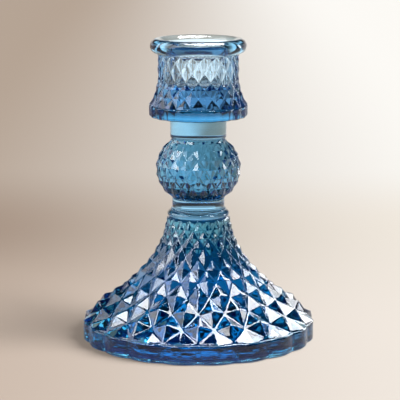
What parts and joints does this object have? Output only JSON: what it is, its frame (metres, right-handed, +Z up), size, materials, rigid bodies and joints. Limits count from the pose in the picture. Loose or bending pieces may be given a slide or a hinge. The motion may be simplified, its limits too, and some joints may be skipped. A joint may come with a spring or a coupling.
{
  "type": "glass candlestick",
  "caption": "Pressed-glass candlestick with a diamond-point pattern, heavy flared foot, round knop, fluted drip skirt and a cup for a taper candle.",
  "frame": {"origin": "centre of the standing face, at the level of the table", "axes": "+Z up the axis of the stick towards the mouth of the candle cup"},
  "size_m": [0.1, 0.1, 0.1304],
  "materials": {
    "foot_glass": "fire-polished clear blue pressed glass, deep where it is thick",
    "neck_glass": "fire-polished clear blue glass",
    "knop_glass": "fire-polished clear blue pressed glass",
    "skirt_glass": "fire-polished clear blue pressed glass",
    "cup_glass": "fire-polished clear blue pressed glass, pale where the wall is thin",
    "rim_glass": "fire-polished clear blue glass"
  },
  "bodies": {
    "root": {"foot": "foot_glass", "collar": "neck_glass", "lower_neck": "neck_glass", "knop": "knop_glass", "upper_neck": "neck_glass", "drip_skirt": "skirt_glass", "candle_cup": "cup_glass", "rim_bead": "rim_glass"}
  },
  "joints": []
}
